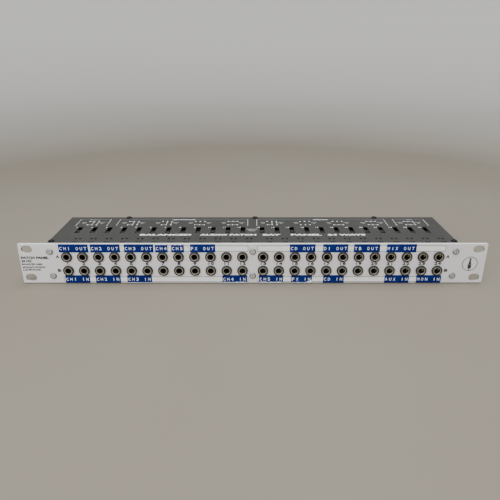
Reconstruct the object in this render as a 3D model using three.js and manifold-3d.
// A one-unit, 19-inch rack patch bay with 24 channels. Each channel is a vertical circuit board that
// carries two front sockets, two rear sockets and a four-way slide switch, worked through a window in
// the top cover. Millimetres, +Z up, front towards -Y, origin under the middle of the unit.
import * as THREE from "three";
import { mergeVertices } from "three/addons/utils/BufferGeometryUtils.js";
import Module from "manifold-3d";

const wasm = await Module();
wasm.setup();

// ---------------------------------------------------------------- driving dimensions
const PANEL = { width: 482.6, height: 44, thickness: 3 }; // 19 in wide, one rack unit less a gap
const DEPTH = 90; // front face of the panel to rear face of the tray
const CASE = { width: 428, bottom: 1.5, top: 42.5, sheet: 1.2 };
const GAP = 0.3; // between pieces that touch on the real unit
const CHANNELS = 24;
const COLUMN = { pitch: 16.5, centreGap: 21.3 }; // socket columns, wider between channels 12 and 13
const ROW_Z = { a: 29.85, b: 14.3 }; // heights of the two socket rows
const RACK_SLOT = { x: 232.55, z: 15.875, length: 11.4, height: 8.5, endSides: 12 }; // z is from mid-height

const FRONT_Y = -DEPTH / 2; // front face of the panel
const REAR_Y = DEPTH / 2; // rear face of the tray
const PANEL_BACK_Y = FRONT_Y + PANEL.thickness;
const COVER_UNDERSIDE = CASE.top - CASE.sheet;
const REAR_INSIDE_Y = REAR_Y - CASE.sheet;

// Sockets: an eight-sided barrel on a square housing. A side is measured across its flats.
const SOCKET = {
  housing: 12.4, // width and height
  housingEndY: 12.6, // distance of the inner end from mid-depth
  barrel: 10.2,
  panelHole: 10.8,
  bore: 6.4,
  boreDepth: 31.9,
  proud: 2.2, // how far a barrel stands out of the panel
};
const BOARD = { x: 6.3, thickness: 1.6, bottom: 4, top: 40.3, frontY: -40, rearY: 42.5 };

// The slide switch: a trough that holds a carriage, whose knob reaches up into the cover's window.
const SWITCH = { y: 0.75, length: 22.6, width: 8.4, bottom: 28.5, top: 38.5, wall: 1.5 };
const CARRIAGE = { width: 4.8, length: 7, bottom: 31.2, top: 34.4 };
const KNOB = { width: 4.2, length: 6.4, top: 41.9 };
const WINDOW = { width: 5, length: 19.1 };
const POSITION_STEP = 4; // between the switch's four positions
const POSITIONS = 4;
// Channels whose switch stands one step back from its foremost position; the rest stand foremost.
const ONE_STEP_BACK = new Set([1, 10, 11, 13, 15, 20, 21]);

// Fasteners: each has an eight-sided head on an eight-sided shank.
const SIDES = 8; // of every round piece and hole but the rack slots' ends
const SHANK = 3;
const SHANK_HOLE = 3.7;
const PANEL_SCREW = { x: 209, z: 13.65, head: 7, headHeight: 1.5, length: 6.5 };
const COVER_SCREW = { head: 5.7, headHeight: 1.4, length: 4.5 };
const COVER_SCREWS = [
  { name: "cover_screw_front_left", x: -210.5, y: -33.4 },
  { name: "cover_screw_front_right", x: 210.5, y: -33.4 },
  { name: "cover_screw_rear_left", x: -145.5, y: 41.6 },
  { name: "cover_screw_rear_middle", x: 3.2, y: 41.6 },
  { name: "cover_screw_rear_right", x: 143.7, y: 41.6 },
];
const LUG = { width: 7, depth: 8 }; // in-turned lugs on the tray that the cover's screws enter
const TAB = { width: 6.4, height: 11 }; // tabs behind the panel that its screws enter
const LANCE = { x: 7.1, y: -35.5, width: 5.8, length: 1.6 }; // narrow slots ahead of each board's top edge

// ---------------------------------------------------------------- colours and finishes
const finish = (color, roughness, metalness) =>
  new THREE.MeshStandardMaterial({ color, roughness, metalness });
const SILVER_PAINT = finish(0xc9c9cc, 0.45, 0.3);
const CHARCOAL_PAINT = finish(0x565654, 0.6, 0.1);
const BOARD_ASSEMBLY = finish(0x1c1d1e, 0.5, 0);
const KNOB_PLASTIC = finish(0x77777a, 0.5, 0);
const GREY_SCREW = finish(0x9a9c9c, 0.35, 0.8);
const BLACK_SCREW = finish(0x0f0f10, 0.35, 0.6);

// ---------------------------------------------------------------- solids
function toSolid(geometry) {
  const bare = geometry.clone();
  bare.deleteAttribute("normal");
  bare.deleteAttribute("uv");
  const merged = mergeVertices(bare);
  const triVerts = new Uint32Array(merged.index.array);
  const vertProperties = merged.attributes.position.array;
  return new wasm.Manifold(new wasm.Mesh({ numProp: 3, vertProperties, triVerts }));
}

function toGeometry(solid) {
  const { vertProperties, triVerts } = solid.getMesh();
  const geometry = new THREE.BufferGeometry();
  geometry.setAttribute("position", new THREE.BufferAttribute(vertProperties, 3));
  geometry.setIndex(new THREE.BufferAttribute(triVerts, 1));
  geometry.computeVertexNormals();
  return geometry;
}

// A box between two corners.
function block([x0, y0, z0], [x1, y1, z1]) {
  const box = new THREE.BoxGeometry(x1 - x0, y1 - y0, z1 - z0);
  return toSolid(box.translate((x0 + x1) / 2, (y0 + y1) / 2, (z0 + z1) / 2));
}

const cornerRadius = (acrossFlats, sides) => acrossFlats / 2 / Math.cos(Math.PI / sides);

// An upright rod from z0 to z1 with flats on its four quarters.
function uprightRod(acrossFlats, sides, z0, z1) {
  const radius = cornerRadius(acrossFlats, sides);
  const rod = new THREE.CylinderGeometry(radius, radius, z1 - z0, sides);
  return rod.rotateY(Math.PI / sides).rotateX(Math.PI / 2).translate(0, 0, (z0 + z1) / 2);
}

const rodZ = (acrossFlats, x, y, z0, z1) =>
  toSolid(uprightRod(acrossFlats, SIDES, z0, z1).translate(x, y, 0));

const rodY = (acrossFlats, x, z, y0, y1, sides = SIDES) =>
  toSolid(uprightRod(acrossFlats, sides, y0, y1).rotateX(-Math.PI / 2).translate(x, 0, z));

const join = (solids) => solids.reduce((whole, solid) => whole.add(solid));

// ---------------------------------------------------------------- channel layout
function columnX(channel) {
  const half = CHANNELS / 2;
  const side = channel <= half ? -1 : 1;
  const steps = channel <= half ? half - channel : channel - half - 1;
  return side * (COLUMN.centreGap / 2 + steps * COLUMN.pitch);
}

const channels = Array.from({ length: CHANNELS }, (_, index) => index + 1);

// Cutters for both rows of socket holes, from y0 to y1.
const socketHoles = (y0, y1) =>
  channels.flatMap((channel) =>
    Object.values(ROW_Z).map((z) => rodY(SOCKET.panelHole, columnX(channel), z, y0, y1)),
  );

// ---------------------------------------------------------------- front panel
const panelScrewPlaces = [-PANEL_SCREW.x, 0, PANEL_SCREW.x].flatMap((x) =>
  [-PANEL_SCREW.z, PANEL_SCREW.z].map((z) => ({ x, z: PANEL.height / 2 + z })),
);

// A round-ended slot through the panel, drawn around (x, z).
function rackSlot(x, z, y0, y1) {
  const { length, height, endSides } = RACK_SLOT;
  const reach = (length - height) / 2;
  const middle = block([x - reach, y0, z - height / 2], [x + reach, y1, z + height / 2]);
  const ends = [x - reach, x + reach].map((end) => rodY(height, end, z, y0, y1, endSides));
  return join([middle, ...ends]);
}

function frontPanel() {
  const halfWidth = PANEL.width / 2;
  const before = FRONT_Y - 1;
  const behind = PANEL_BACK_Y + 1;
  const sheet = block([-halfWidth, FRONT_Y, 0], [halfWidth, PANEL_BACK_Y, PANEL.height]);
  const slots = [-RACK_SLOT.x, RACK_SLOT.x].flatMap((x) =>
    [-RACK_SLOT.z, RACK_SLOT.z].map((z) => rackSlot(x, PANEL.height / 2 + z, before, behind)),
  );
  const screwHoles = panelScrewPlaces.map(({ x, z }) => rodY(SHANK_HOLE, x, z, before, behind));
  return sheet.subtract(join([...socketHoles(before, behind), ...slots, ...screwHoles]));
}

// ---------------------------------------------------------------- tray and cover
const CASE_FRONT_Y = PANEL_BACK_Y + GAP;
const TAB_BACK_Y = CASE_FRONT_Y + CASE.sheet;
const WALL_TOP = COVER_UNDERSIDE - GAP;
const halfCase = CASE.width / 2;

// A tab behind the panel that one panel screw enters, from z0 up to z1. A side tab grows out of its wall.
function panelTab(x, z0, z1) {
  const insideWall = halfCase - CASE.sheet / 2;
  const left = x < 0 ? -insideWall : x - TAB.width / 2;
  const right = x > 0 ? insideWall : x + TAB.width / 2;
  return block([left, CASE_FRONT_Y, z0], [right, TAB_BACK_Y, z1]);
}

const panelScrewHole = ({ x, z }) =>
  rodY(SHANK_HOLE, x, z, CASE_FRONT_Y - 1, FRONT_Y + PANEL_SCREW.length + 1);

// A lug under the cover for one cover screw, reaching in from the wall that is nearest.
function coverLug({ x, y }) {
  const isFront = y < 0;
  const left = isFront ? Math.sign(x) * (halfCase - LUG.width / 2) - LUG.width / 2 : x - LUG.width / 2;
  const front = isFront ? y - LUG.depth / 2 : REAR_INSIDE_Y - LUG.depth + CASE.sheet;
  const back = isFront ? y + LUG.depth / 2 : REAR_Y;
  const bottom = WALL_TOP - CASE.sheet;
  const lug = block([left, front, bottom], [left + LUG.width, back, WALL_TOP]);
  return lug.subtract(rodZ(SHANK_HOLE, x, y, bottom - 1, WALL_TOP + 1));
}

// The middle upper screw enters a tab on the cover, and the other five enter tabs on the tray.
const entersCover = ({ x, z }) => x === 0 && z > PANEL.height / 2;

function chassisTray() {
  const floorTop = CASE.bottom + CASE.sheet;
  const floor = block([-halfCase, CASE_FRONT_Y, CASE.bottom], [halfCase, REAR_Y, floorTop]);
  const rear = block([-halfCase, REAR_INSIDE_Y, CASE.bottom], [halfCase, REAR_Y, WALL_TOP]);
  const walls = [-halfCase, halfCase - CASE.sheet].map((x) =>
    block([x, CASE_FRONT_Y, CASE.bottom], [x + CASE.sheet, REAR_Y, WALL_TOP]),
  );
  const places = panelScrewPlaces.filter((at) => !entersCover(at));
  const tabs = places.map(({ x, z }) =>
    z < PANEL.height / 2
      ? panelTab(x, CASE.bottom, CASE.bottom + TAB.height)
      : panelTab(x, WALL_TOP - TAB.height, WALL_TOP),
  );
  const holes = [...socketHoles(REAR_INSIDE_Y - 1, REAR_Y + 1), ...places.map(panelScrewHole)];
  const whole = join([floor, rear, ...walls, ...tabs, ...COVER_SCREWS.map(coverLug)]);
  return whole.subtract(join(holes));
}

// A hole through the cover, centred on (x, y).
function coverOpening(x, y, width, length) {
  return block(
    [x - width / 2, y - length / 2, COVER_UNDERSIDE - 1],
    [x + width / 2, y + length / 2, CASE.top + 1],
  );
}

function topCover() {
  const sheet = block([-halfCase, CASE_FRONT_Y, COVER_UNDERSIDE], [halfCase, REAR_Y, CASE.top]);
  const openings = channels.flatMap((channel) => {
    const x = columnX(channel);
    return [
      coverOpening(x, SWITCH.y, WINDOW.width, WINDOW.length),
      coverOpening(x + LANCE.x, LANCE.y, LANCE.width, LANCE.length),
    ];
  });
  const coverScrewHoles = COVER_SCREWS.map(({ x, y }) =>
    rodZ(SHANK_HOLE, x, y, COVER_UNDERSIDE - 1, CASE.top + 1),
  );
  const panelScrews = panelScrewPlaces.filter(entersCover);
  const tabs = panelScrews.map(({ x }) => panelTab(x, CASE.top - TAB.height, CASE.top));
  const holes = [...openings, ...coverScrewHoles, ...panelScrews.map(panelScrewHole)];
  return join([sheet, ...tabs]).subtract(join(holes));
}

// ---------------------------------------------------------------- one channel's board
// One socket on the board, at height z. Its barrel points to the front (-1) or the rear (1).
function socket(z, direction) {
  const half = SOCKET.housing / 2;
  const shoulder = direction < 0 ? CASE_FRONT_Y : -(REAR_INSIDE_Y - GAP);
  const mouth = FRONT_Y - SOCKET.proud;
  const facingFront = block(
    [-half, shoulder, z - half],
    [BOARD.x + BOARD.thickness / 2, -SOCKET.housingEndY, z + half],
  )
    .add(rodY(SOCKET.barrel, 0, z, mouth, shoulder + 1))
    .subtract(rodY(SOCKET.bore, 0, z, mouth - 1, mouth + SOCKET.boreDepth));
  return direction < 0 ? facingFront : facingFront.mirror([0, 1, 0]);
}

function switchTrough() {
  const half = SWITCH.width / 2;
  const front = SWITCH.y - SWITCH.length / 2;
  const back = SWITCH.y + SWITCH.length / 2;
  const slack = 0.3;
  const pocketHalf = CARRIAGE.width / 2 + slack;
  const outside = block(
    [-half, front, SWITCH.bottom],
    [BOARD.x + BOARD.thickness / 2, back, SWITCH.top],
  );
  const pocket = block(
    [-pocketHalf, front + SWITCH.wall, CARRIAGE.bottom - slack],
    [pocketHalf, back - SWITCH.wall, SWITCH.top + 1],
  );
  return outside.subtract(pocket);
}

function channelBoard() {
  const board = block(
    [BOARD.x, BOARD.frontY, BOARD.bottom],
    [BOARD.x + BOARD.thickness, BOARD.rearY, BOARD.top],
  );
  const sockets = Object.values(ROW_Z).flatMap((z) => [socket(z, -1), socket(z, 1)]);
  return join([board, switchTrough(), ...sockets]);
}

// The moving carriage and knob, in its foremost position.
function modeSlider() {
  const y = SWITCH.y - ((POSITIONS - 1) / 2) * POSITION_STEP;
  const part = ({ width, length }, z0, z1) =>
    block([-width / 2, y - length / 2, z0], [width / 2, y + length / 2, z1]);
  return part(CARRIAGE, CARRIAGE.bottom, CARRIAGE.top).add(part(KNOB, CARRIAGE.bottom, KNOB.top));
}

// ---------------------------------------------------------------- screws
// A screw whose head rests at the origin and whose shank runs along -Z.
function screw({ head, headHeight, length }) {
  return rodZ(head, 0, 0, 0, headHeight).add(rodZ(SHANK, 0, 0, -length, headHeight / 2));
}

// ---------------------------------------------------------------- assembly
const patchBay = new THREE.Group();

function place(name, geometry, material, x = 0, y = 0, z = 0) {
  const mesh = new THREE.Mesh(geometry, material);
  mesh.name = name;
  mesh.position.set(x, y, z);
  patchBay.add(mesh);
  return mesh;
}

place("front_panel", toGeometry(frontPanel()), SILVER_PAINT);
place("chassis_tray", toGeometry(chassisTray()), CHARCOAL_PAINT);
place("top_cover", toGeometry(topCover()), CHARCOAL_PAINT);

const boardGeometry = toGeometry(channelBoard());
const sliderGeometry = toGeometry(modeSlider());
for (const channel of channels) {
  const number = String(channel).padStart(2, "0");
  const x = columnX(channel);
  const back = ONE_STEP_BACK.has(channel) ? POSITION_STEP : 0;
  place(`channel_board_${number}`, boardGeometry, BOARD_ASSEMBLY, x);
  place(`mode_slider_${number}`, sliderGeometry, KNOB_PLASTIC, x, back);
}

// The two middle panel screws are left out: they match these four.
const panelScrewGeometry = toGeometry(screw(PANEL_SCREW));
for (const { x, z } of panelScrewPlaces.filter((at) => at.x !== 0)) {
  const name = `panel_screw_${z > PANEL.height / 2 ? "upper" : "lower"}_${x < 0 ? "left" : "right"}`;
  place(name, panelScrewGeometry, GREY_SCREW, x, FRONT_Y, z).rotation.x = Math.PI / 2;
}

const coverScrewGeometry = toGeometry(screw(COVER_SCREW));
for (const { name, x, y } of COVER_SCREWS) {
  place(name, coverScrewGeometry, BLACK_SCREW, x, y, CASE.top);
}

export default patchBay;
